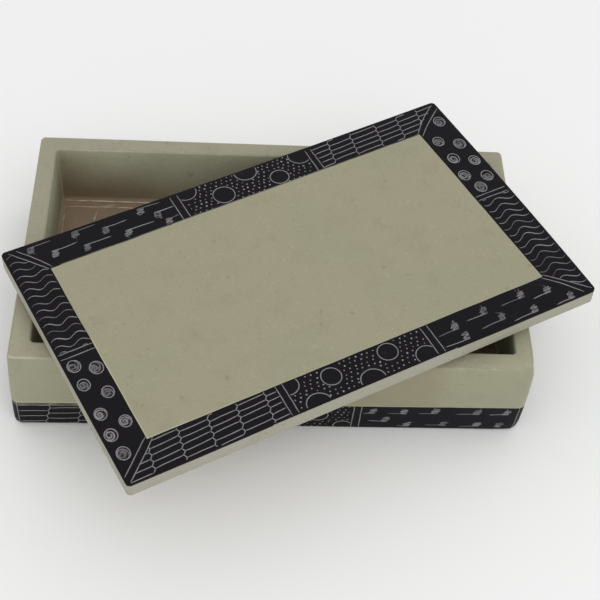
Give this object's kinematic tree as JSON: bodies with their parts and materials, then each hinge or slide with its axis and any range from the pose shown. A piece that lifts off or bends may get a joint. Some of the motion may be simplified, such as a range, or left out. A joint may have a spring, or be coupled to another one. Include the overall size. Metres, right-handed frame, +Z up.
{
  "type": "carved soapstone jewelry box with lid",
  "caption": "Low rectangular carved soapstone box with a loose slab lid lying askew on its rim, black-dyed borders scratched with mudcloth motifs.",
  "frame": {"origin": "centre of the box's foot, on the surface it stands on", "axes": "+X along the box's length to the right, +Y towards the back wall, +Z up out of the cavity"},
  "size_m": [0.1727, 0.1474, 0.0408],
  "materials": {
    "box_soapstone": "satin, hand rubbed",
    "lid_soapstone": "satin, hand rubbed"
  },
  "bodies": {
    "box": {"box_body": "box_soapstone"},
    "lid": {"lid": "lid_soapstone"}
  },
  "joints": [
    {"name": "lid_lift", "type": "slide", "parent": "box", "child": "lid", "axis": [0, 0, 1], "range_m": [0, 0.06]}
  ]
}
